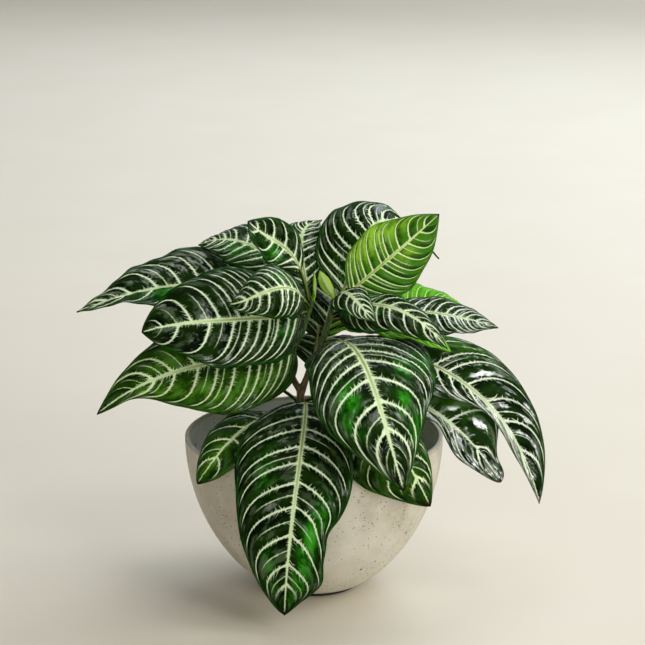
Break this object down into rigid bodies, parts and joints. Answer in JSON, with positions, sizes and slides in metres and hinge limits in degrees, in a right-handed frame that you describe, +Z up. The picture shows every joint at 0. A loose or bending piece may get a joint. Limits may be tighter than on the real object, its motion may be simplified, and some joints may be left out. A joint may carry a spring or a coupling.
{
  "type": "potted zebra plant",
  "caption": "House plant with broad dark green leaves striped by pale veins, on a forked stem in a round-bottomed cement bowl filled with soil.",
  "frame": {"origin": "centre of the foot pad's underside, on the surface that the bowl stands on", "axes": "+Z up; the plant is seen from -Y, with +X to the right; +X is its longest extent"},
  "size_m": [0.4125, 0.3046, 0.3391],
  "materials": {
    "cement": "matt speckled cement",
    "foot": "matt",
    "potting_mix": "loose bark and peat",
    "stem": "satin green bark",
    "leaf": "glossy dark green with pale veins",
    "young_leaf": "glossy bright green"
  },
  "bodies": {
    "root": {"bowl": "cement", "foot_pad": "foot", "leaf_back_left": "leaf", "leaf_back_left_upper": "leaf", "leaf_back_low": "leaf", "leaf_back_mid": "leaf", "leaf_back_right": "leaf", "leaf_back_right_upper": "leaf", "leaf_back_upper": "leaf", "leaf_centre_small": "leaf", "leaf_far_left": "leaf", "leaf_far_right": "leaf", "leaf_front_heart": "leaf", "leaf_front_large": "leaf", "leaf_front_left": "leaf", "leaf_front_right": "leaf", "leaf_left_large": "leaf", "leaf_left_low": "leaf", "leaf_left_rear": "leaf", "leaf_left_small": "leaf", "leaf_right_back": "leaf", "leaf_right_low": "leaf", "leaf_right_mid": "leaf", "leaf_right_under": "leaf", "leaf_right_upper": "leaf", "leaf_top_bright": "leaf", "leaf_top_tall": "leaf", "leaf_upper_left": "leaf", "soil": "potting_mix", "stem": "stem", "young_left": "young_leaf", "young_right": "young_leaf"}
  },
  "joints": []
}
